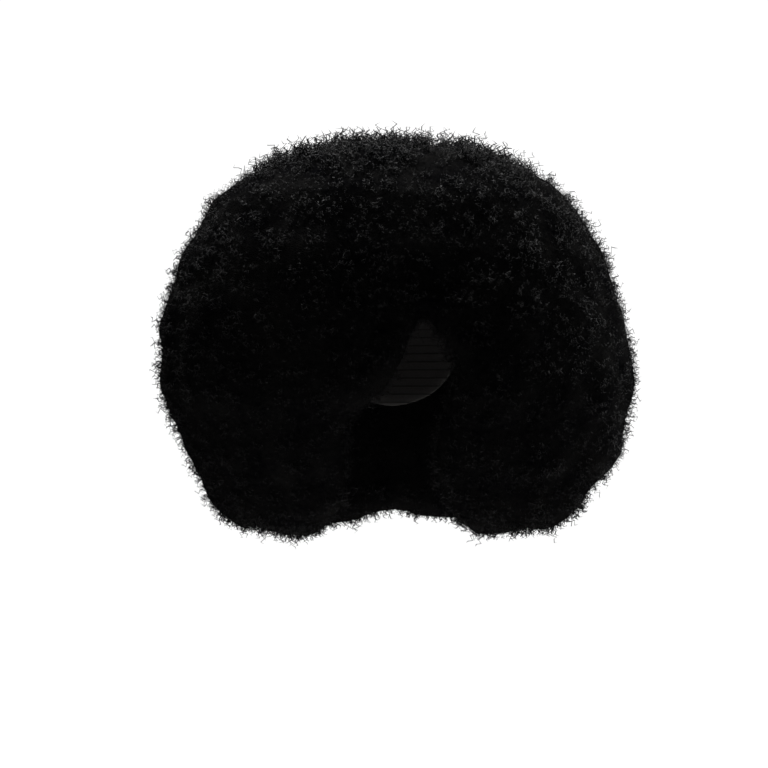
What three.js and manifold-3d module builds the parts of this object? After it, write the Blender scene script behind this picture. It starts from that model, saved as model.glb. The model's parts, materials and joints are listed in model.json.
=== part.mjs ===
// A full round afro wig: a cap shaped to the head, and a deep ball of hair sewn on it in five sections.
// Millimetres, +Z up, the face looks along -Y. The origin is the inside top of the cap.
import * as THREE from "three";
import { ParametricGeometry } from "three/addons/geometries/ParametricGeometry.js";
import { mergeVertices } from "three/addons/utils/BufferGeometryUtils.js";
import Module from "manifold-3d";

const wasm = await Module();
wasm.setup();

// Sizes of the head that the cap fits, and of the cap
const headWidth = 154;
const headLength = 196;
const domeHeight = 95;
const napeDepth = 172;
const napeTuck = 16;
const capWall = 1.5;
const hemWall = 2.4;
const hemHeight = 11;

// Reach of the hair, to the tips of its tufts, from the origin
const hairTop = 108;
const hairLeft = 245;
const hairRight = 251;
const hairFront = 190;
const hairBack = 247;
const widestDrop = 130;
const hemLeft = 300;
const hemRight = 294;
const hemFront = 296;
const hemBack = 282;

// Tufts that make the lumpy outside
const tuftSpacing = 66;
const tuftRadius = 46;
const tuftRelief = 7;

// Opening for the face, and the locks along its edge
const openingTop = 66;
const openingLeft = 51;
const openingRight = 64;
const lockRadius = 15;
const lockProud = 4.5;
const lockSpacing = 26;

// Seams between the sections, and clearances
const crownDrop = 46;
const fringeInset = 7;
const backLine = 20;
const capFit = 0.3;
const seamGap = 0.4;

// Shape numbers without a length
const headRoundness = 2.2;
const hairRoundness = 2.12;
const stepsAround = 36;
const capSteps = 9;
const neckSteps = 3;
const hairAround = 24;
const hairSteps = 14;

// Depth of the cap's rim round one side, from the forehead to the nape: ear tab before the ear, arch over it
const capRim = [
  { turn: 0, depth: 0.36 },
  { turn: 28, depth: 0.37 },
  { turn: 48, depth: 0.43 },
  { turn: 64, depth: 0.53 },
  { turn: 75, depth: 0.7 },
  { turn: 85, depth: 0.69 },
  { turn: 97, depth: 0.56 },
  { turn: 108, depth: 0.6 },
  { turn: 126, depth: 0.77 },
  { turn: 150, depth: 0.93 },
  { turn: 180, depth: 1 },
];

// Hair from top to hem: level is 1 at the top, 0 where it is widest and -1 at the hem, and the
// other columns are shares of the reach on that side
const hairRows = [
  { level: 1, left: 0, right: 0, front: 0, back: 0 },
  { level: 0.995, left: 0.16, right: 0.16, front: 0.16, back: 0.16 },
  { level: 0.98, left: 0.31, right: 0.3, front: 0.3, back: 0.31 },
  { level: 0.945, left: 0.45, right: 0.45, front: 0.44, back: 0.45 },
  { level: 0.895, left: 0.55, right: 0.54, front: 0.55, back: 0.56 },
  { level: 0.83, left: 0.655, right: 0.655, front: 0.65, back: 0.66 },
  { level: 0.745, left: 0.755, right: 0.72, front: 0.74, back: 0.75 },
  { level: 0.64, left: 0.825, right: 0.8, front: 0.82, back: 0.83 },
  { level: 0.51, left: 0.9, right: 0.865, front: 0.89, back: 0.9 },
  { level: 0.365, left: 0.955, right: 0.915, front: 0.95, back: 0.955 },
  { level: 0.19, left: 0.985, right: 0.96, front: 0.99, back: 0.99 },
  { level: 0, left: 1, right: 1, front: 1, back: 1 },
  { level: -0.24, left: 0.96, right: 0.99, front: 0.94, back: 0.985 },
  { level: -0.48, left: 0.885, right: 0.95, front: 0.85, back: 0.94 },
  { level: -0.66, left: 0.835, right: 0.86, front: 0.76, back: 0.88 },
  { level: -0.81, left: 0.77, right: 0.775, front: 0.66, back: 0.79 },
  { level: -0.92, left: 0.67, right: 0.66, front: 0.55, back: 0.67 },
  { level: -0.98, left: 0.54, right: 0.54, front: 0.44, back: 0.52 },
  { level: -1, left: 0.4, right: 0.4, front: 0.34, back: 0.38 },
  { level: -1, left: 0, right: 0, front: 0, back: 0 },
];

// Face opening from its peak down: level is a share of the hem's depth, and left and right are
// shares of the opening's reach on that side
const openingRows = [
  { level: 0, left: -0.47, right: 0.42 },
  { level: 0.06, left: -0.36, right: 0.57 },
  { level: 0.12, left: -0.24, right: 0.77 },
  { level: 0.2, left: -0.1, right: 1 },
  { level: 0.27, left: 0.06, right: 1.01 },
  { level: 0.34, left: 0.22, right: 0.98 },
  { level: 0.41, left: 0.52, right: 0.9 },
  { level: 0.45, left: 0.86, right: 0.84 },
  { level: 0.475, left: 1, right: 0.8 },
  { level: 0.56, left: 1.01, right: 0.75 },
  { level: 0.7, left: 1.01, right: 0.76 },
  { level: 0.8, left: 1, right: 0.9 },
  { level: 0.85, left: 1.06, right: 1.05 },
  { level: 0.9, left: 1.33, right: 1.18 },
  { level: 0.95, left: 1.5, right: 1.4 },
  { level: 1, left: 1.95, right: 1.9 },
  { level: 1.2, left: 2.4, right: 2.4 },
];

// Values that follow from the sizes
const halfWidth = headWidth / 2;
const halfLength = headLength / 2;
const hairMiddle = (hairBack - hairFront) / 2;
const hairHalfLength = (hairBack + hairFront) / 2;
const openingDrop = Math.max(hemLeft, hemRight) - openingTop;
const throatRow = 8;
const throatShare = (side) => Math.min(...openingRows.slice(throatRow).map((row) => row[side]));
const fringeLeft = openingLeft * throatShare("left") - fringeInset;
const fringeRight = openingRight * throatShare("right") - fringeInset;
const below = 2 * Math.max(hemLeft, hemRight, hemFront, hemBack);
const farOut = 2 * Math.max(hairLeft, hairRight, hairFront, hairBack);

// Smooth value of a table's column at a place in its rows, which may fall between two of them
function columnAt(rows, column, place) {
  const row = Math.min(Math.floor(place), rows.length - 2);
  const part = place - row;
  const value = (i) => rows[Math.min(Math.max(i, 0), rows.length - 1)][column];
  const before = value(row - 1);
  const from = value(row);
  const to = value(row + 1);
  const after = value(row + 2);
  const slope = to - before + (2 * before - 5 * from + 4 * to - after) * part;
  return from + 0.5 * part * (slope + (3 * (from - to) + after - before) * part * part);
}

// Place in a table whose column runs steadily one way
function placeIn(rows, column, target) {
  const rising = rows[rows.length - 1][column] > rows[0][column];
  const past = rows.findIndex((row) => (rising ? row[column] >= target : row[column] <= target));
  if (past <= 0) return past < 0 ? rows.length - 1 : 0;
  const from = rows[past - 1][column];
  return past - 1 + (target - from) / (rows[past][column] - from);
}

// Distance from the axis to a rounded oval with these reaches along X and Y
function ovalRadius(angle, alongX, alongY, roundness) {
  const x = Math.abs(Math.cos(angle)) / alongX;
  const y = Math.abs(Math.sin(angle)) / alongY;
  return (x ** roundness + y ** roundness) ** (-1 / roundness);
}

// Value for a direction between the four sides
function sideValue(angle, sides) {
  const across = Math.cos(angle);
  const along = Math.sin(angle);
  const side = across > 0 ? sides.right : sides.left;
  const end = along > 0 ? sides.back : sides.front;
  return side * across ** 2 + end * along ** 2;
}

// How far along the head's profile a depth lies: 1 is the bottom of the dome
function profilePlace(depth) {
  if (depth >= domeHeight) return 1 + (depth / domeHeight - 1) / (Math.PI / 2);
  return Math.acos((1 - depth / domeHeight) ** (headRoundness / 2)) / (Math.PI / 2);
}

// Point of the head's surface, moved out by grow
function headPoint(angle, place, grow, target) {
  const reach = ovalRadius(angle, halfWidth, halfLength, headRoundness);
  const turn = (Math.min(place, 1) * Math.PI) / 2;
  const power = 2 / headRoundness;
  const share = Math.sin(turn) ** power;
  const height = place < 1 ? Math.cos(turn) ** power : 0;
  const down = Math.max(place - 1, 0) * (Math.PI / 2) * domeHeight;
  const tuckPart = THREE.MathUtils.smoothstep(down, 0, napeDepth - domeHeight);
  const tuck = napeTuck * Math.max(Math.sin(angle), 0) ** 2 * tuckPart;
  const outward = share ** (headRoundness - 1) / reach;
  const upward = height ** (headRoundness - 1) / domeHeight;
  const length = Math.hypot(outward, upward);
  const radius = reach * share - tuck + (grow * outward) / length;
  const z = domeHeight * (height - 1) - down + (grow * upward) / length;
  return target.set(radius * Math.cos(angle), radius * Math.sin(angle), z);
}

// Depth of the cap's rim in a direction
function rimDepth(angle) {
  const fromFront = THREE.MathUtils.radToDeg(Math.acos(-Math.sin(angle)));
  return napeDepth * columnAt(capRim, "depth", placeIn(capRim, "turn", fromFront));
}

// Point of the hair's outside at a place in its rows, moved in by inset
function hairPoint(angle, place, inset, target) {
  const level = columnAt(hairRows, "level", place);
  const side = Math.cos(angle) > 0 ? "right" : "left";
  const end = Math.sin(angle) > 0 ? "back" : "front";
  const sideReach = (side === "right" ? hairRight : hairLeft) - inset;
  const alongX = Math.max(sideReach * columnAt(hairRows, side, place), 1e-3);
  const alongY = Math.max((hairHalfLength - inset) * columnAt(hairRows, end, place), 1e-3);
  const radius = place === 0 || place === hairRows.length - 1
    ? 0
    : ovalRadius(angle, alongX, alongY, hairRoundness);
  const hem = sideValue(angle, { left: hemLeft, right: hemRight, front: hemFront, back: hemBack });
  const bottom = (hemLeft + hemRight + hemFront + hemBack) / 4;
  const rise = hairTop - inset + widestDrop;
  const drop = (radius > 0 ? hem : bottom) - inset - widestDrop;
  const z = level * (level > 0 ? rise : drop) - widestDrop;
  return target.set(radius * Math.cos(angle), hairMiddle + radius * Math.sin(angle), z);
}

// Closed solid from a three.js geometry
function solidFrom(geometry) {
  const bare = geometry.clone();
  bare.deleteAttribute("normal");
  bare.deleteAttribute("uv");
  const merged = mergeVertices(bare, 1e-3);
  const triangles = [];
  const index = merged.index.array;
  for (let i = 0; i < index.length; i += 3) {
    const [a, b, c] = index.slice(i, i + 3);
    if (a !== b && b !== c && c !== a) triangles.push(a, b, c);
  }
  const make = (corners) =>
    new wasm.Manifold(
      new wasm.Mesh({
        numProp: 3,
        vertProperties: merged.attributes.position.array,
        triVerts: new Uint32Array(corners),
      }),
    );
  const solid = make(triangles);
  return solid.volume() > 0 ? solid : make(triangles.reverse());
}

// Named mesh from a solid
function meshFrom(solid, name, material) {
  const { vertProperties, triVerts, numProp } = solid.getMesh();
  const geometry = new THREE.BufferGeometry();
  const corners = new THREE.InterleavedBuffer(vertProperties, numProp);
  geometry.setAttribute("position", new THREE.InterleavedBufferAttribute(corners, 3, 0));
  geometry.setIndex(new THREE.BufferAttribute(triVerts, 1));
  const mesh = new THREE.Mesh(geometry, material);
  mesh.name = name;
  return mesh;
}

// Closed surface through rings, where stops lists what each ring passes to the point function
function ringSolid(stops, point, around) {
  const shape = (u, v, target) => {
    const stop = stops[Math.round(v * (stops.length - 1))];
    return point((u % 1) * 2 * Math.PI, stop, target);
  };
  return solidFrom(new ParametricGeometry(shape, around, stops.length - 1));
}

// Steady number between 0 and 1 for each whole number, so that tufts vary but never change
function scatter(number) {
  const value = Math.sin(number * 12.9898) * 43758.5453;
  return value - Math.floor(value);
}

// Cap: a thin wall over the head, with a thicker hem along its rim
function makeCap() {
  const hemGrow = capWall - hemWall;
  const stops = [];
  for (let i = 0; i <= capSteps; i++) stops.push({ share: i / capSteps, up: 0, grow: capWall });
  stops.push({ share: 1, up: 0, grow: hemGrow });
  stops.push({ share: 1, up: hemHeight, grow: hemGrow });
  stops.push({ share: 1, up: hemHeight + hemWall, grow: 0 });
  for (let i = capSteps - 1; i >= 0; i--) {
    stops.push({ share: i / capSteps, up: (hemHeight + hemWall) * (i / capSteps), grow: 0 });
  }
  return ringSolid(stops, (angle, stop, target) => {
    const last = profilePlace(rimDepth(angle) - stop.up);
    return headPoint(angle, stop.share * last, stop.grow, target);
  }, stepsAround);
}

// Hollow for the head and neck, open below the hem
function makeHollow() {
  const grow = capWall + capFit;
  const stops = [];
  const last = profilePlace(napeDepth);
  for (let i = 0; i <= capSteps; i++) stops.push({ share: i / capSteps, past: 0, fall: 0 });
  for (let i = 1; i <= neckSteps; i++) stops.push({ share: 1, past: i / neckSteps, fall: 0 });
  stops.push({ share: 1, past: 1, fall: below - napeDepth });
  stops.push({ share: 0, past: 0, fall: below });
  return ringSolid(stops, (angle, stop, target) => {
    const rim = profilePlace(rimDepth(angle));
    headPoint(angle, stop.share * rim + stop.past * (last - rim), grow, target);
    target.z -= stop.fall;
    return target;
  }, stepsAround);
}

// Round tuft of hair, squashed along its own axis and turned to point outwards
function makeTuft(centre, outward, radius, depth, spin) {
  const tuft = new THREE.SphereGeometry(1, 6, 4);
  tuft.rotateX(Math.PI / 2);
  tuft.rotateZ(spin);
  tuft.scale(radius, radius, depth);
  const turned = new THREE.Quaternion().setFromUnitVectors(new THREE.Vector3(0, 0, 1), outward);
  tuft.applyQuaternion(turned);
  tuft.translate(centre.x, centre.y, centre.z);
  return solidFrom(tuft);
}

// Rings of tufts from the top of the hair to its hem, spaced evenly along its outside
function makeTufts() {
  const tufts = [];
  const point = new THREE.Vector3();
  const before = new THREE.Vector3();
  const middle = new THREE.Vector3(0, hairMiddle, -widestDrop);
  const lastPlace = hairRows.length - 3;
  const samples = 200;
  const profile = [0];
  hairPoint(0, 0, 0, before);
  for (let i = 1; i <= samples; i++) {
    hairPoint(0, (lastPlace * i) / samples, 0, point);
    profile.push(profile[i - 1] + point.distanceTo(before));
    before.copy(point);
  }
  const rings = Math.round(profile[samples] / tuftSpacing);
  for (let ring = 0; ring <= rings; ring++) {
    const reached = (profile[samples] * ring) / rings;
    const place = (lastPlace * profile.findIndex((length) => length >= reached - 1e-6)) / samples;
    hairPoint(0, place, 0, point);
    const around = 2 * Math.PI * Math.hypot(point.x, 0);
    const count = Math.max(1, Math.round(around / tuftSpacing));
    for (let i = 0; i < count; i++) {
      const seed = ring * 97 + i;
      const angle = ((i + (ring % 2) / 2 + 0.3 * scatter(seed)) / count) * 2 * Math.PI;
      hairPoint(angle, place, 0, point);
      const outward = point.clone().sub(middle);
      outward.z *= 0.85;
      outward.normalize();
      const radius = tuftRadius * (0.85 + 0.3 * scatter(seed + 0.5));
      const depth = radius * 0.8;
      const centre = point.clone().addScaledVector(outward, -depth - 3 * scatter(seed + 0.25));
      tufts.push(makeTuft(centre, outward, radius, depth, scatter(seed + 0.75) * Math.PI));
    }
  }
  return tufts;
}

// One edge of the face opening, from its peak down
function openingEdge(side) {
  const reach = side === "left" ? -openingLeft : openingRight;
  const points = openingRows.map(
    (row) => new THREE.Vector2(reach * row[side], -openingTop - openingDrop * row.level),
  );
  return new THREE.SplineCurve(points);
}

// Solid that opens the hair for the face and throat, from the front through to the hollow
function makeOpening() {
  const edgePoints = 2 * openingRows.length;
  const left = openingEdge("left").getPoints(edgePoints);
  const right = openingEdge("right").getPoints(edgePoints).reverse();
  const shape = new THREE.Shape([...left, ...right]);
  const geometry = new THREE.ExtrudeGeometry(shape, { depth: farOut, bevelEnabled: false });
  geometry.rotateX(Math.PI / 2);
  geometry.translate(0, -halfLength / 10, 0);
  return solidFrom(geometry);
}

// Y of the hair's front surface in front of a place
function frontAt(x, z) {
  const drop = z > -widestDrop ? hairTop + widestDrop : hemFront - widestDrop;
  const place = placeIn(hairRows, "level", (z + widestDrop) / drop);
  const side = x > 0 ? "right" : "left";
  const reach = (x > 0 ? hairRight : hairLeft) * columnAt(hairRows, side, place);
  const share = (1 - Math.min(Math.abs(x) / reach, 1) ** hairRoundness) ** (1 / hairRoundness);
  return hairMiddle - hairHalfLength * columnAt(hairRows, "front", place) * share;
}

// Locks side by side along the edge of the face opening, each as deep as the hair is there
function makeLocks() {
  const locks = [];
  for (const side of ["left", "right"]) {
    const edge = openingEdge(side);
    const count = Math.floor(edge.getLength() / lockSpacing);
    const away = side === "left" ? 1 : -1;
    for (let i = 1; i < count; i++) {
      const at = edge.getPointAt(i / count);
      if (at.y < lockRadius - Math.min(hemLeft, hemRight)) break;
      const along = edge.getTangentAt(i / count);
      const inward = lockRadius - lockProud;
      const x = at.x + away * along.y * inward;
      const z = at.y - away * along.x * inward;
      const front = frontAt(x, z) + tuftRelief;
      const lock = new THREE.SphereGeometry(1, 6, 4);
      lock.scale(lockRadius, (-halfWidth - front) / 2, lockRadius);
      lock.translate(x, (front - halfWidth) / 2, z);
      locks.push(solidFrom(lock));
    }
  }
  return locks;
}

// Box that keeps one section of the hair
function sectionBox(low, high) {
  const size = new THREE.Vector3().subVectors(high, low);
  const box = new THREE.BoxGeometry(size.x, size.y, size.z);
  box.translate(low.x + size.x / 2, low.y + size.y / 2, low.z + size.z / 2);
  return solidFrom(box);
}

// The whole ball of hair, before it is parted into sections
function makeHair() {
  const stops = [];
  for (let i = 0; i <= hairSteps; i++) stops.push(((hairRows.length - 1) * i) / hairSteps);
  const ball = ringSolid(
    stops,
    (angle, place, target) => hairPoint(angle, place, tuftRelief, target),
    hairAround,
  );
  let hair = ball;
  for (const tuft of makeTufts()) hair = hair.add(tuft);
  hair = hair.subtract(makeOpening());
  for (const lock of makeLocks()) hair = hair.add(lock);
  return hair.subtract(makeHollow());
}

const hairMaterial = new THREE.MeshStandardMaterial({ color: 0x0d0c0c, roughness: 0.85, metalness: 0 });
const capMaterial = new THREE.MeshStandardMaterial({ color: 0x1b1918, roughness: 0.9, metalness: 0 });

const half = seamGap / 2;
const corner = (x, y, z) => new THREE.Vector3(x, y, z);
const sections = {
  hair_crown: [corner(-farOut, -farOut, -crownDrop + half), corner(farOut, farOut, farOut)],
  hair_left: [
    corner(-farOut, -farOut, -below),
    corner(-fringeLeft - half, backLine - half, -crownDrop - half),
  ],
  hair_right: [
    corner(fringeRight + half, -farOut, -below),
    corner(farOut, backLine - half, -crownDrop - half),
  ],
  hair_back: [
    corner(-farOut, backLine + half, -below),
    corner(farOut, farOut, -crownDrop - half),
  ],
  fringe: [
    corner(-fringeLeft + half, -farOut, -below),
    corner(fringeRight - half, backLine - half, -crownDrop - half),
  ],
};

const wig = new THREE.Group();
wig.add(meshFrom(makeCap(), "cap", capMaterial));
const hair = makeHair();
for (const [name, [low, high]] of Object.entries(sections)) {
  wig.add(meshFrom(hair.intersect(sectionBox(low, high)), name, hairMaterial));
}

export default wig;
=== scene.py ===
import json
import math

import bpy
import numpy as np
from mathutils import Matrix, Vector
from mathutils.bvhtree import BVHTree
from mathutils.kdtree import KDTree

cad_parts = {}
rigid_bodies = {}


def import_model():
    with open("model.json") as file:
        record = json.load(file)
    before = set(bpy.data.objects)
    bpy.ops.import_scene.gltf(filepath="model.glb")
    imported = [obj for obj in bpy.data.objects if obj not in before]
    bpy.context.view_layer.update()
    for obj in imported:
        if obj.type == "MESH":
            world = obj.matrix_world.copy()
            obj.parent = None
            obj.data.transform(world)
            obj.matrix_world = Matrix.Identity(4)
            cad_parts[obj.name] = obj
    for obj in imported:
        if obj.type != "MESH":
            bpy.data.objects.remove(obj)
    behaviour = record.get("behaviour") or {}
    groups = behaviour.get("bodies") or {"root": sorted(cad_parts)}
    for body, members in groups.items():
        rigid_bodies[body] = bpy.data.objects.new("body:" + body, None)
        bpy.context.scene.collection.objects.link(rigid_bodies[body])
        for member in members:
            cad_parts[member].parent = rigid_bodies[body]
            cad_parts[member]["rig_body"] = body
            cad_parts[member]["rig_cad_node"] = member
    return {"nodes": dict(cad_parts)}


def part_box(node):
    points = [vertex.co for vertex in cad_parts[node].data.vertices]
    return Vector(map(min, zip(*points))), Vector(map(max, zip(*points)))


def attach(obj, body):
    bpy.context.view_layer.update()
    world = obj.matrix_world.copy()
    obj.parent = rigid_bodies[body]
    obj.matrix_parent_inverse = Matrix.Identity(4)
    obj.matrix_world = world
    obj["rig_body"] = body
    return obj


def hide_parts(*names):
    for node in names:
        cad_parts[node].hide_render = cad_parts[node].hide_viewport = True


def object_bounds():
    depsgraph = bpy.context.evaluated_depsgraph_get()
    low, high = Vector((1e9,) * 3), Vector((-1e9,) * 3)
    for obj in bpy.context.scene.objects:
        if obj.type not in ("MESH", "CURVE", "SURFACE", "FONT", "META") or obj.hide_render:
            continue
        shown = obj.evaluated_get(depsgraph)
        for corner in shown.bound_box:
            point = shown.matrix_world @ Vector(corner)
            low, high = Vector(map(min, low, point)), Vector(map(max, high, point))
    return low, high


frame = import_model()
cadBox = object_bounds()
nodes = frame["nodes"]
touch = 0.00001          # points nearer to each other than this are one point
print("frame loaded")


# small tools

def deselectAll():
    if bpy.context.object and bpy.context.object.mode != "OBJECT":
        bpy.ops.object.mode_set(mode="OBJECT")
    bpy.ops.object.select_all(action="DESELECT")


def pick(*objects):
    deselectAll()
    for ob in objects:
        ob.select_set(True)
    bpy.context.view_layer.objects.active = objects[0]


def editAll(ob):
    pick(ob)
    bpy.ops.object.mode_set(mode="EDIT")
    bpy.ops.mesh.select_all(action="SELECT")


def editDone():
    bpy.ops.object.mode_set(mode="OBJECT")


def pickVerts(ob, wanted):
    # leaves edit mode to mark the vertices, and comes back with them selected
    bpy.ops.mesh.select_mode(type="VERT")
    bpy.ops.mesh.select_all(action="DESELECT")
    bpy.ops.object.mode_set(mode="OBJECT")
    ob.data.vertices.foreach_set("select", wanted(pointsOf(ob)))
    bpy.ops.object.mode_set(mode="EDIT")


def pointsOf(ob):
    points = np.zeros(len(ob.data.vertices) * 3, np.float32)
    ob.data.vertices.foreach_get("co", points)
    return points.reshape(-1, 3).astype(float)


def normalsOf(ob):
    normals = np.zeros(len(ob.data.vertices) * 3, np.float32)
    ob.data.vertices.foreach_get("normal", normals)
    return normals.reshape(-1, 3).astype(float)


def unit(vectors):
    return vectors / np.maximum(np.linalg.norm(vectors, axis=1, keepdims=True), 1e-9)


def rise(values, start, end):
    # 0 up to start and 1 from end on, in a straight line between them
    return np.clip((values - start) / (end - start), 0, 1)


def modify(ob, kind, **settings):
    pick(ob)
    modifier = ob.modifiers.new(kind.lower(), kind)
    for key, value in settings.items():
        setattr(modifier, key, value)
    bpy.ops.object.modifier_apply(modifier=modifier.name)


def copyNode(nodeName, pieceName):
    piece = nodes[nodeName].copy()
    piece.data = nodes[nodeName].data.copy()
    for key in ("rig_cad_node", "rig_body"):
        del piece[key]
    piece.parent = None
    piece.name = pieceName
    piece.data.name = pieceName
    piece.data.materials.clear()
    bpy.context.scene.collection.objects.link(piece)
    editAll(piece)
    bpy.ops.mesh.remove_doubles(threshold=touch)
    editDone()
    return piece


# shader maths: a wrapped socket takes +, - and *, and each adds its Math node

class Value:
    def __init__(self, shader, socket):
        self.shader = shader
        self.socket = socket

    def maths(self, operation, first, second):
        return self.shader.node("Math", {"operation": operation}, {0: first, 1: second})

    def __add__(self, other):
        return self.maths("ADD", self, other)

    def __radd__(self, other):
        return self.maths("ADD", other, self)

    def __sub__(self, other):
        return self.maths("SUBTRACT", self, other)

    def __rsub__(self, other):
        return self.maths("SUBTRACT", other, self)

    def __mul__(self, other):
        return self.maths("MULTIPLY", self, other)

    def __rmul__(self, other):
        return self.maths("MULTIPLY", other, self)


class Shader:
    def __init__(self, name):
        self.material = bpy.data.materials.new(name)
        self.material.use_nodes = True
        self.tree = self.material.node_tree
        self.tree.nodes.clear()

    def node(self, kind, settings, sockets, out=0):
        made = self.tree.nodes.new("ShaderNode" + kind)
        for key, value in settings.items():
            if key == "stops":
                ramp = made.color_ramp
                while len(ramp.elements) < len(value):
                    ramp.elements.new(0.5)
                for element, (place, colour) in zip(ramp.elements, value):
                    element.position = place
                    element.color = (*colour, 1)
            else:
                setattr(made, key, value)
        for key, value in sockets.items():
            if isinstance(value, Value):
                self.tree.links.new(value.socket, made.inputs[key])
            else:
                made.inputs[key].default_value = value
        return Value(self, made.outputs[out]) if made.outputs else None

    def finish(self, surface):
        self.node("OutputMaterial", {}, {"Surface": surface})
        return self.material


# hair, grown on a soft core that fills the CAD sections

hairLook = {
    "tones": {            # dark and light colour, and gloss
        # depth is a darker copy of the fibre colour: painted shade for the hollows between the curls
        "depth": ((0.00014, 0.00014, 0.00018), (0.0008, 0.00078, 0.00075), 0.0),
        "fibre": ((0.00056, 0.00056, 0.00064), (0.0021, 0.00205, 0.002), 0.006),
    },
    "patch": 26.0,        # noise that turns the colour, per metre
    "fleck": 190.0,       # and a finer one
    "patchShare": 0.6,    # how much of the two is patch
    "stops": (0.34, 0.68),    # noise at which the hair is dark, and light
    "roughness": 0.8,
    "bumpSize": 380.0,
    "bumpDepth": 0.003,
    "bumpStrength": 0.9,
}


def hairMaterial(part):
    look = hairLook
    dark, light, gloss = look["tones"][part]
    sh = Shader("hair_" + part)
    place = sh.node("TexCoord", {}, {}, "Object")
    patch = sh.node("TexNoise", {}, {"Vector": place, "Scale": look["patch"], "Detail": 3.0})
    fleck = sh.node("TexNoise", {}, {"Vector": place, "Scale": look["fleck"], "Detail": 2.0})
    blend = patch * look["patchShare"] + fleck * (1 - look["patchShare"])
    darkAt, lightAt = look["stops"]
    colour = sh.node("ValToRGB", {"stops": [(darkAt, dark), (lightAt, light)]}, {"Fac": blend})
    frizz = sh.node("TexNoise", {}, {
        "Vector": place, "Scale": look["bumpSize"], "Detail": 4.0, "Distortion": 1.2})
    bump = sh.node("Bump", {}, {
        "Height": frizz, "Strength": look["bumpStrength"], "Distance": look["bumpDepth"]})
    surface = sh.node("BsdfPrincipled", {}, {
        "Base Color": colour,
        "Roughness": look["roughness"],
        "Specular IOR Level": gloss,
        "Normal": bump,
    })
    return sh.finish(surface)


hairCore = {
    "sections": ["hair_crown", "hair_left", "hair_right", "hair_back", "fringe"],
    "swell": 0.0005,          # sections grow by this, so that they fuse over their seams
    "voxel": 0.0072,
    "smooth": 16,             # rounds that take the tufts off the core
    "smoothAfter": 4,         # and rounds once it is filled out
    "smoothFactor": 0.5,
    "fill": 0.0110,           # past the mean of the tufted outside, which smoothing shrinks
    "rightFill": 0.0035,      # what the viewer's right side gets on top of that
    "rightFacing": (0.25, 0.875),     # how far it faces right where this starts, and is whole
    "hemFill": 0.003,         # the fill where the outside looks down
    "hemFacing": (0.375, 1.0),
    "crestFill": 0.0052,      # and at the top, where the frizz stands higher
    "cornerFill": (0.0125, 0.0185),   # and at the low outer corners of the left and right lobes
    "cornerHeight": (-0.20, -0.25),   # a corner starts at the first, and is whole at the next
    "cornerReach": (0.105, 0.145),    # and the same by distance from the middle
    "mostLost": 0.006,        # the most that is put back where smoothing took it off
    "middle": (0, 0.03, -0.1),
    "outward": (0.15, 0.65),  # how far a side faces away from the middle where the fill starts
    "wayRounds": 16,          # rounds of evening for each of these over the core
    "outsideRounds": 8,
    "lostRounds": 20,
    "pushRounds": 12,
    "lumpSize": 0.028,
    "lumpHeight": 0.0021,
    "curlSize": 0.008,
    "curlHeight": 0.0011,
    "capFree": (0.007, 0.021),        # smooth nearer the cap than this, all loose past the second
    "creaseAngle": 75,        # degrees; the fleece is shaded smooth below this
}


def growCore():
    shape = hairCore
    copies = [copyNode(name, name + "_core") for name in shape["sections"]]
    for piece in copies:
        editAll(piece)
        bpy.ops.transform.shrink_fatten(value=shape["swell"])
        editDone()
    pick(*copies)
    bpy.ops.object.join()
    core = bpy.context.object
    core.name = "hair_core"
    modify(core, "REMESH", mode="VOXEL", voxel_size=shape["voxel"], use_smooth_shade=True)
    return core


def headSide(points):
    # 1 at the walls of the hollow for the head and neck, less inside it and more outside
    low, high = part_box("cap")
    x = points[:, 0] / max(-low.x, high.x)
    y = points[:, 1] / max(-low.y, high.y)
    return np.hypot(x, y)


def gapToCap(points):
    capShape = BVHTree.FromObject(nodes["cap"], bpy.context.evaluated_depsgraph_get())
    return np.array([capShape.find_nearest(Vector(p))[3] for p in points])


def markVerts(ob, name, weights):
    group = ob.vertex_groups.new(name=name)
    for i, weight in enumerate(weights):
        group.add([i], float(weight), "REPLACE")


def evened(ob, values, rounds):
    # mean over the neighbours, again and again
    ends = np.zeros(len(ob.data.edges) * 2, np.int32)
    ob.data.edges.foreach_get("vertices", ends)
    one, two = ends.reshape(-1, 2).T
    size = len(values)
    near = np.bincount(one, minlength=size) + np.bincount(two, minlength=size)
    for _ in range(rounds):
        total = np.bincount(one, values[two], size) + np.bincount(two, values[one], size)
        values = 0.5 * values + 0.5 * total / np.maximum(near, 1)
    return values


endBand = 0.05           # height of the band at the top, and at the hem, that is made apart


def crestShare(points):
    # 1 on the very top of the ball, 0 below its band
    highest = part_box("hair_crown")[1].z
    return rise(points[:, 2], highest - endBand, highest)


def hemShare(points):
    # 1 at the lowest hair, 0 above its band
    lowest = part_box("hair_left")[0].z
    return rise(-points[:, 2], -lowest - endBand, -lowest)


def fillOf(points, normals):
    # how far the fleece stands past the mean of the solids, by the side of the ball
    shape = hairCore
    reach = np.hypot(points[:, 0], points[:, 1] - shape["middle"][1])
    corner = rise(points[:, 2], *shape["cornerHeight"]) * rise(reach, *shape["cornerReach"])
    fill = shape["fill"] + shape["rightFill"] * rise(normals[:, 0], *shape["rightFacing"])
    fill = fill + (shape["hemFill"] - fill) * rise(-normals[:, 2], *shape["hemFacing"])
    fill = fill + (np.where(points[:, 0] < 0, *shape["cornerFill"]) - fill) * corner
    return fill + (shape["crestFill"] - fill) * crestShare(points)


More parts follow.
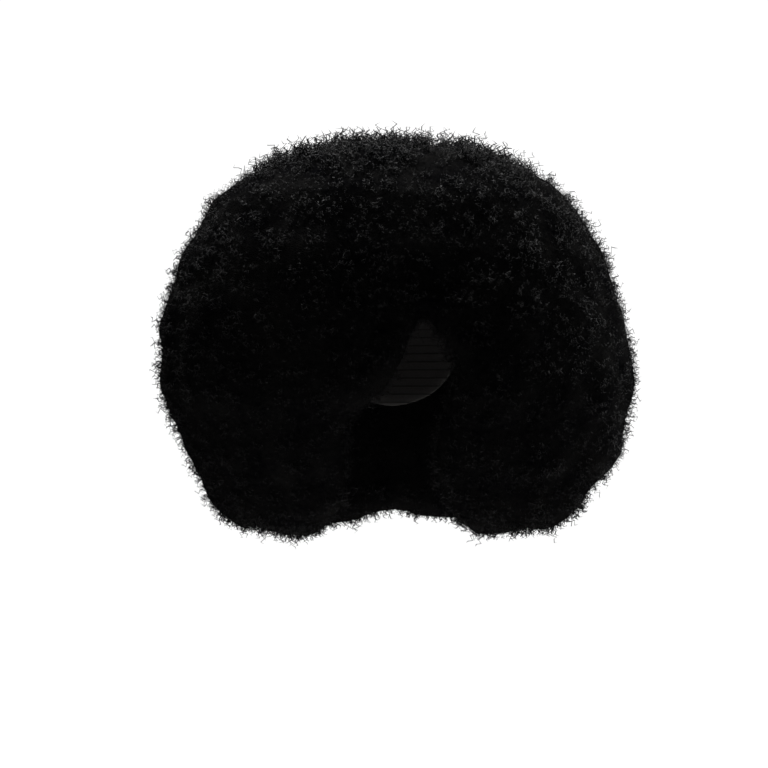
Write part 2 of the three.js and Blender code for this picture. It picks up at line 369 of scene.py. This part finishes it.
def roughenCore(core):
    # the tufts are evened out, what that takes off the outside is put back, and finer lumps follow
    shape = hairCore
    tufted = BVHTree.FromObject(core, bpy.context.evaluated_depsgraph_get())
    modify(core, "SMOOTH", factor=shape["smoothFactor"], iterations=shape["smooth"])
    points, normals = pointsOf(core), normalsOf(core)
    way = unit(np.stack([evened(core, normals[:, i], shape["wayRounds"]) for i in range(3)], 1))
    free = rise(gapToCap(points), *shape["capFree"])
    outward = (way * unit(points - np.array(shape["middle"]))).sum(1)
    outside = free * evened(core, free * rise(outward, *shape["outward"]), shape["outsideRounds"])
    lost = []
    for point, normal in zip(points, way):
        place = tufted.find_nearest(Vector(point))[0]
        lost.append((np.array(place) - point) @ normal)
    lost = evened(core, np.clip(lost, 0, shape["mostLost"]), shape["lostRounds"])
    push = free * evened(core, (lost + fillOf(points, way)) * outside, shape["pushRounds"])
    points += way * push[:, None]
    core.data.vertices.foreach_set("co", points.astype(np.float32).ravel())
    core.data.update()
    modify(core, "SMOOTH", factor=shape["smoothFactor"], iterations=shape["smoothAfter"])
    markVerts(core, "loose", free)
    markVerts(core, "outside", outside)
    lumps = bpy.data.textures.new("lumps", "CLOUDS")
    lumps.noise_scale = shape["lumpSize"]
    curls = bpy.data.textures.new("curls", "CLOUDS")
    curls.noise_scale = shape["curlSize"]
    modify(core, "DISPLACE", texture=lumps, texture_coords="LOCAL", vertex_group="outside",
           strength=2 * shape["lumpHeight"], mid_level=0.5)
    modify(core, "DISPLACE", texture=curls, texture_coords="LOCAL", vertex_group="loose",
           strength=2 * shape["curlHeight"], mid_level=0.5)


# curls, each modelled once and copied all over the core

curlSides = 3

curlKinds = {
    # thick is the tube's radius, and coil that of its winding; twist is where the winding starts
    "coil": {
        "length": 0.0092, "thick": 0.00040, "coil": 0.0019, "turns": 1.9, "twist": 0.0, "rings": 5},
    "kink": {
        "length": 0.0084, "thick": 0.00042, "coil": 0.0016, "turns": -2.1, "twist": 0.9,
        "rings": 5},
    "loose": {
        "length": 0.0112, "thick": 0.00034, "coil": 0.0019, "turns": 2.1, "twist": 1.2, "rings": 5},
    "wisp": {
        "length": 0.0135, "thick": 0.00027, "coil": 0.0018, "turns": 2.9, "twist": 0.7, "rings": 7},
}


def modelCurl(name, kind):
    # a thin tube, kinked at its rings and drawn to a point at both ends
    bpy.ops.mesh.primitive_cylinder_add(
        vertices=curlSides, radius=kind["thick"], depth=kind["length"], end_fill_type="NOTHING",
        location=(0, 0, kind["length"] / 2))
    curl = bpy.context.object
    curl.name = name
    bpy.ops.object.transform_apply(location=True)
    editAll(curl)
    steps = kind["rings"] + 1
    for i in range(1, steps):
        bpy.ops.mesh.select_all(action="SELECT")
        bpy.ops.mesh.bisect(plane_co=(0, 0, kind["length"] * i / steps), plane_no=(0, 0, 1))
    for i in range(steps + 1):
        z = kind["length"] * i / steps
        turn = 2 * math.pi * kind["turns"] * i / steps + kind["twist"]
        reach = kind["coil"] * min(1, 2 * i / steps)
        pickVerts(curl, lambda points: abs(points[:, 2] - z) < touch)
        bpy.ops.transform.translate(value=(reach * math.cos(turn), reach * math.sin(turn), 0))
        if i in (0, steps):
            bpy.ops.mesh.merge(type="CENTER")
    bpy.ops.mesh.select_all(action="SELECT")
    bpy.ops.mesh.quads_convert_to_tris()
    bpy.ops.mesh.normals_make_consistent(inside=False)
    editDone()
    faces = np.array([tuple(face.vertices) for face in curl.data.polygons])
    points = pointsOf(curl)
    bpy.data.objects.remove(curl)
    return points, faces


def sampleCore(core, count, rng, weightOf):
    # points spread over the core, with its smooth normals there
    mesh = core.data
    mesh.calc_loop_triangles()
    corners = np.zeros(len(mesh.loop_triangles) * 3, np.int32)
    mesh.loop_triangles.foreach_get("vertices", corners)
    corners = corners.reshape(-1, 3)
    points, normals = pointsOf(core), normalsOf(core)
    a, b, c = (points[corners[:, i]] for i in range(3))
    area = np.linalg.norm(np.cross(b - a, c - a), axis=1) / 2
    chance = area * weightOf((a + b + c) / 3)
    triangle = rng.choice(len(area), count, p=chance / chance.sum())
    u, v = rng.random(count), rng.random(count)
    over = u + v > 1
    u[over], v[over] = 1 - u[over], 1 - v[over]
    w = 1 - u - v
    share = np.stack([w, u, v], 1)[:, :, None]
    at = (points[corners[triangle]] * share).sum(1)
    normal = (normals[corners[triangle]] * share).sum(1)
    return at, normal / np.linalg.norm(normal, axis=1, keepdims=True)


curlGrowth = {
    "seed": 7,
    "counts": {"coil": 9500, "kink": 9500, "loose": 8200, "wisp": 2300},
    "clumps": 1700,
    "clumpReach": 0.015,      # height over the clump's middle of the point that its curls lean to
    "clumpPull": 0.45,
    "clumpSizes": (1.32, 0.74),       # size in the middle of a clump, and at its edge
    "clumpWidth": 0.013,
    "gather": 0.15,           # share of the way that a root moves to the middle of its clump
    "rooted": 0.0012,         # depth of a root in the core
    "stray": {"coil": 0.9, "kink": 1.0, "loose": 0.7, "wisp": 0.5},
    "sizes": (0.7, 1.45, 2.0),        # least and most size, and how rare the large ones are
    "crest": {"sizes": 0.5, "crowd": 0.6, "gapFrom": 0.4, "gapAt": 0.044, "gapHalf": 0.007,
              "gapSize": 0.45},       # the gap is the notch in the frizz right of the top
    "hemCrowd": 0.7,
    "capClear": 0.012,        # no root is nearer to the cap
    "hollowSide": 1.12,       # roots no farther out than this many times the walls are in the hollow
    "hollowCrowd": 0.2,
    "wispsLow": 0.1,          # weight of the wisps at the hem, and the power of its gain upwards
    "wispsRise": 6,
    "reach": 0.022,           # no curl goes farther than this past the size of the solids
}


def growCurls(core):
    growth = curlGrowth
    crest = growth["crest"]
    inner, outer = growth["clumpSizes"]
    least, most, rare = growth["sizes"]
    rng = np.random.default_rng(growth["seed"])
    lowest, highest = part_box("hair_back")[0].z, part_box("hair_crown")[1].z
    low, high = np.array(cadBox[0]) - growth["reach"], np.array(cadBox[1]) + growth["reach"]

    def evenly(points):
        # none against the cap, few inside the hollow below it but for its lower edge
        inside = (headSide(points) < growth["hollowSide"]) & (points[:, 2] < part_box("cap")[1].z)
        weight = np.where(inside & (hemShare(points) == 0), growth["hollowCrowd"], 1.0)
        weight[gapToCap(points) < growth["capClear"]] = 0
        crowd = crest["crowd"] * crestShare(points) + growth["hemCrowd"] * hemShare(points)
        return weight * (1 + crowd)

    def topmost(points):
        height = rise(points[:, 2], lowest, highest)
        return evenly(points) * (growth["wispsLow"] + height ** growth["wispsRise"])

    clumpAt, clumpOut = sampleCore(core, growth["clumps"], rng, evenly)
    tree = KDTree(len(clumpAt))
    for i, point in enumerate(clumpAt):
        tree.insert(point, i)
    tree.balance()
    tips = clumpAt + clumpOut * growth["clumpReach"]

    grown = {}
    for name, kind in curlKinds.items():
        count = growth["counts"][name]
        shape, faces = modelCurl(name, kind)
        at, out = sampleCore(core, count, rng, topmost if name == "wisp" else evenly)
        found = [tree.find(point) for point in at]
        nearest = np.array([hit[1] for hit in found])
        offCentre = rise(np.array([hit[2] for hit in found]), 0, growth["clumpWidth"])
        at = at + growth["gather"] * (clumpAt[nearest] - at)
        way = unit(out + growth["clumpPull"] * unit(tips[nearest] - at)
                   + growth["stray"][name] * rng.normal(size=(count, 3)))
        side = unit(np.cross(way, rng.normal(size=(count, 3))))
        other = np.cross(way, side)
        size = least + (most - least) * rng.random(count) ** rare
        size *= inner + (outer - inner) * offCentre
        size *= 1 + crest["sizes"] * crestShare(at)
        onTop = crestShare(at) > crest["gapFrom"]
        gap = (abs(at[:, 0] - crest["gapAt"]) < crest["gapHalf"]) & onTop
        size[gap] *= crest["gapSize"]
        axes = np.stack([side, other, way], 1)
        placed = at - out * growth["rooted"]
        points = placed[:, None, :] + size[:, None, None] * np.einsum("vk,nkj->nvj", shape, axes)
        kept = ((points > low) & (points < high)).all(axis=(1, 2))
        grown[name] = (placed[kept], points[kept], shape, faces)
    return grown


def seams():
    # height of the crown seam, depth of the back one, and the two sides of the fringe
    crown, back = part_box("hair_crown")[0].z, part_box("hair_back")[0].y
    left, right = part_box("fringe")[0].x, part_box("fringe")[1].x
    return crown, back, left, right


def sectionOf(points):
    # name of the CAD section whose side of the seams each point lies on
    crown, back, left, right = seams()
    name = np.full(len(points), "fringe", dtype=object)
    name[points[:, 0] < left] = "hair_left"
    name[points[:, 0] > right] = "hair_right"
    name[points[:, 1] > back] = "hair_back"
    name[points[:, 2] > crown] = "hair_crown"
    return name


def cutSection(core, name):
    # the stretch of core between the section's seams, closed where it is cut
    piece = core.copy()
    piece.data = core.data.copy()
    bpy.context.scene.collection.objects.link(piece)
    crown, back, left, right = seams()
    upper, lower = ((0, 0, crown), (0, 0, -1)), ((0, 0, crown), (0, 0, 1))
    rear, front = ((0, back, 0), (0, -1, 0)), ((0, back, 0), (0, 1, 0))
    cuts = {
        "hair_crown": [upper],
        "hair_back": [lower, rear],
        "hair_left": [lower, front, ((left, 0, 0), (1, 0, 0))],
        "hair_right": [lower, front, ((right, 0, 0), (-1, 0, 0))],
        "fringe": [lower, front, ((left, 0, 0), (-1, 0, 0)), ((right, 0, 0), (1, 0, 0))],
    }
    editAll(piece)
    for seam, away in cuts[name]:
        bpy.ops.mesh.select_all(action="SELECT")
        bpy.ops.mesh.bisect(plane_co=seam, plane_no=away, use_fill=True, clear_outer=True)
    bpy.ops.mesh.select_all(action="SELECT")
    bpy.ops.mesh.quads_convert_to_tris()
    editDone()
    return piece


def meshOf(name, points, faces, chart):
    mesh = bpy.data.meshes.new(name)
    mesh.vertices.add(len(points))
    mesh.vertices.foreach_set("co", points.astype(np.float32).ravel())
    mesh.loops.add(len(faces) * 3)
    mesh.loops.foreach_set("vertex_index", faces.astype(np.int32).ravel())
    mesh.polygons.add(len(faces))
    mesh.polygons.foreach_set("loop_start", np.arange(0, len(faces) * 3, 3, dtype=np.int32))
    mesh.update(calc_edges=True)
    layer = mesh.uv_layers.new(name="OFBake")
    layer.data.foreach_set("uv", chart.astype(np.float32).ravel())
    ob = bpy.data.objects.new(name, mesh)
    bpy.context.scene.collection.objects.link(ob)
    return ob


charts = {
    "tiles": 64,              # curls share a square chart of this many tiles each way
    "tileMargin": 0.1,
    "views": (3, 2),          # a fleece has its six views in so many columns and rows
    "viewMargin": 0.02,
}


def inset(place, margin):
    return place * (1 - 2 * margin) + margin


def chartOf(shape, faces, first, count):
    # each curl gets a tile: its length runs up the tile, and its round across it
    low, high = shape[:, 2].min(), shape[:, 2].max()
    up = (shape[:, 2] - low) / (high - low)
    across = (np.arange(len(shape)) % curlSides) / (curlSides - 1)
    corner = inset(np.stack([across[faces], up[faces]], 2), charts["tileMargin"])
    tiles = charts["tiles"]
    tile = (first + np.arange(count)) % tiles ** 2
    place = np.stack([tile % tiles, tile // tiles], 1)
    return (corner[None] + place[:, None, None, :]) / tiles


def boxChart(ob):
    # six views of the piece side by side, each face in the one that it looks to
    mesh = ob.data
    corners = np.zeros(len(mesh.loops), np.int32)
    mesh.loops.foreach_get("vertex_index", corners)
    normals = np.zeros(len(mesh.polygons) * 3, np.float32)
    mesh.polygons.foreach_get("normal", normals)
    points = pointsOf(ob)
    points = (points - points.min(0)) / np.ptp(points, 0)
    normals = normals.reshape(-1, 3)
    axis = abs(normals).argmax(1)
    view = 2 * axis + (normals[np.arange(len(axis)), axis] > 0)
    across, up = np.array([1, 0, 0])[axis], np.array([2, 2, 1])[axis]
    trio = points[corners.reshape(-1, 3)]
    faces = np.arange(len(axis))[:, None]
    three = np.arange(3)[None]
    chart = np.stack([trio[faces, three, across[:, None]], trio[faces, three, up[:, None]]], 2)
    columns, rows = charts["views"]
    place = np.stack([view % columns, view // columns], 1)[:, None]
    chart = (inset(chart, charts["viewMargin"]) + place) / np.array([columns, rows])
    layer = mesh.uv_layers.new(name="OFBake")
    layer.data.foreach_set("uv", chart.astype(np.float32).ravel())


def finishHair(piece, material):
    piece.data.materials.clear()
    piece.data.materials.append(material)
    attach(piece, "root")
    print(piece.name, len(piece.data.polygons), "faces")


def joinCurls(name, section, kinds, grown):
    points, faces, places, base, first = [], [], [], 0, 0
    for kind in kinds:
        placed, every, shape, shapeFaces = grown[kind]
        mine = every[sectionOf(placed) == section]
        count, size = mine.shape[:2]
        starts = base + np.arange(count)[:, None, None] * size
        points.append(mine.reshape(-1, 3))
        faces.append((shapeFaces[None] + starts).reshape(-1, 3))
        places.append(chartOf(shape, shapeFaces, first, count).reshape(-1, 2))
        base += count * size
        first += count
    return meshOf(name, np.concatenate(points), np.concatenate(faces), np.concatenate(places))


def dressSections(core, grown):
    # the fleece gets the depth tones, painted shade under the curls, and the curls get the hair's
    # own fibre tones
    depth, fibre = hairMaterial("depth"), hairMaterial("fibre")
    for section in hairCore["sections"]:
        fleece = cutSection(core, section)
        fleece.name = section + "_fleece"
        fleece.data.name = fleece.name
        pick(fleece)
        bpy.ops.object.shade_smooth_by_angle(angle=math.radians(hairCore["creaseAngle"]))
        boxChart(fleece)
        curls = joinCurls(section + "_curls", section, ["coil"], grown)
        frizz = joinCurls(section + "_frizz", section, ["loose", "wisp"], grown)
        kinks = joinCurls(section + "_kinks", section, ["kink"], grown)
        for piece in (curls, frizz, kinks):
            pick(piece)
            bpy.ops.object.shade_smooth()
        for piece in (fleece, curls, frizz, kinks):
            finishHair(piece, depth if piece == fleece else fibre)
            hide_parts(section)


core = growCore()
print("core remeshed,", len(core.data.polygons), "faces")
roughenCore(core)
print("core roughened")
grown = growCurls(core)
print("curls grown")
dressSections(core, grown)
bpy.data.objects.remove(core)


# cap, seen from below and through the face opening

capLook = {
    "colour": (0.0020, 0.0019, 0.0018),
    "thread": (0.0060, 0.0056, 0.0052),
    "row": (0.0009, 0.0009, 0.0008),
    "rowGap": 0.009,      # from one sewn row of hair to the next
    "rowEdge": (0.38, 0.46),  # where a row begins, in shares of that gap
    "rowHeight": 1.5,     # relief of a row against that of the net
    "threadEdge": (0.05, 0.3),
    "roughness": 0.85,
    "gloss": 0.05,
    "weave": 900.0,       # threads per metre
    "weaveDepth": 0.0005,
    "weaveStrength": 0.6,
}


def capMaterial():
    look = capLook
    sh = Shader("capNet")
    place = sh.node("TexCoord", {}, {}, "Object")
    height = sh.node("SeparateXYZ", {}, {"Vector": place}, "Z")
    net = sh.node("TexVoronoi", {"feature": "DISTANCE_TO_EDGE"},
                  {"Vector": place, "Scale": look["weave"]}, "Distance")
    threadTo, openFrom = look["threadEdge"]
    mesh = sh.node("ValToRGB", {"stops": [(threadTo, look["thread"]), (openFrom, look["colour"])]},
                   {"Fac": net})
    turn = height * (1 / look["rowGap"])
    across = sh.node("Math", {"operation": "PINGPONG"}, {0: turn, 1: 0.5})
    rowFrom, rowTo = look["rowEdge"]
    seam = sh.node("MapRange", {}, {"Value": across, "From Min": rowFrom, "From Max": rowTo})
    colour = sh.node("Mix", {"data_type": "RGBA"},
                     {"Factor": seam, "A": mesh, "B": (*look["row"], 1)}, "Result")
    relief = seam * look["rowHeight"] - net
    bump = sh.node("Bump", {}, {
        "Height": relief, "Strength": look["weaveStrength"], "Distance": look["weaveDepth"]})
    surface = sh.node("BsdfPrincipled", {}, {
        "Base Color": colour,
        "Roughness": look["roughness"],
        "Specular IOR Level": look["gloss"],
        "Normal": bump,
    })
    return sh.finish(surface)


def makeCap():
    cap = copyNode("cap", "cap_net")
    editAll(cap)
    bpy.ops.mesh.tris_convert_to_quads()
    editDone()
    modify(cap, "SUBSURF", levels=1, render_levels=1)
    pick(cap)
    bpy.ops.object.shade_smooth()
    cap.data.materials.append(capMaterial())
    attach(cap, "root")
    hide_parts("cap")
    print(cap.name, len(cap.data.polygons), "faces")


makeCap()
print("cap made")


# floor, light and camera

studio = {
    "floorDrop": 1.3,
    "floorSize": 60.0,
    "floorColour": (0.97, 0.97, 0.97),
    "floorDarkest": 0.985,    # share of that colour in its darkest flecks
    "floorGrain": 3.0,
    "floorRoughness": 0.9,
    "skyStrength": 1.07,
    "cameraHeight": -0.146,
    "cameraSide": -0.009,
    "cameraAway": 1.93,
    "lens": 85,
    "lamps": {
        "top": {"at": (-0.15, 0.45, 1.15), "size": 1.0, "power": 620},
        "rearLeft": {"at": (-1.7, 0.9, 0.5), "size": 1.4, "power": 15},
        "rearRight": {"at": (1.25, 0.66, 0.35), "size": 1.0, "power": 400},
        "front": {"at": (-0.8, -2.2, 1.0), "size": 1.6, "power": 10},
    },
}


def floorMaterial():
    sh = Shader("floorPaint")
    place = sh.node("TexCoord", {}, {}, "Object")
    grain = sh.node("TexNoise", {}, {"Vector": place, "Scale": studio["floorGrain"]})
    darkest = tuple(part * studio["floorDarkest"] for part in studio["floorColour"])
    stops = [(0.3, darkest), (0.7, studio["floorColour"])]
    colour = sh.node("ValToRGB", {"stops": stops}, {"Fac": grain})
    surface = sh.node("BsdfPrincipled", {}, {
        "Base Color": colour,
        "Roughness": studio["floorRoughness"],
    })
    return sh.finish(surface)


def aim(ob, target):
    way = Vector(target) - ob.location
    ob.rotation_euler = way.to_track_quat("-Z", "Y").to_euler()


def makeStudio():
    deselectAll()
    bpy.ops.mesh.primitive_grid_add(x_subdivisions=4, y_subdivisions=4, size=studio["floorSize"])
    floor = bpy.context.object
    floor.name = "floor"
    bpy.ops.transform.translate(value=(0, 0, -studio["floorDrop"]))
    floor.data.materials.append(floorMaterial())
    world = bpy.data.worlds.new("studioWhite")
    bpy.context.scene.world = world
    world.use_nodes = True
    sky = world.node_tree.nodes["Background"]
    sky.inputs["Color"].default_value = (1, 1, 1, 1)
    sky.inputs["Strength"].default_value = studio["skyStrength"]
    middle = (0, 0, studio["cameraHeight"])
    for name, lamp in studio["lamps"].items():
        bpy.ops.object.light_add(type="AREA", location=lamp["at"])
        light = bpy.context.object
        light.name = name + "_lamp"
        light.data.size = lamp["size"]
        light.data.energy = lamp["power"]
        aim(light, middle)
    height, side = studio["cameraHeight"], studio["cameraSide"]
    bpy.ops.object.camera_add(location=(side, -studio["cameraAway"], height))
    camera = bpy.context.object
    camera.data.lens = studio["lens"]
    aim(camera, (side, 0, height))
    bpy.context.scene.camera = camera
    bpy.context.scene.view_settings.view_transform = "Standard"


makeStudio()
print("studio made")
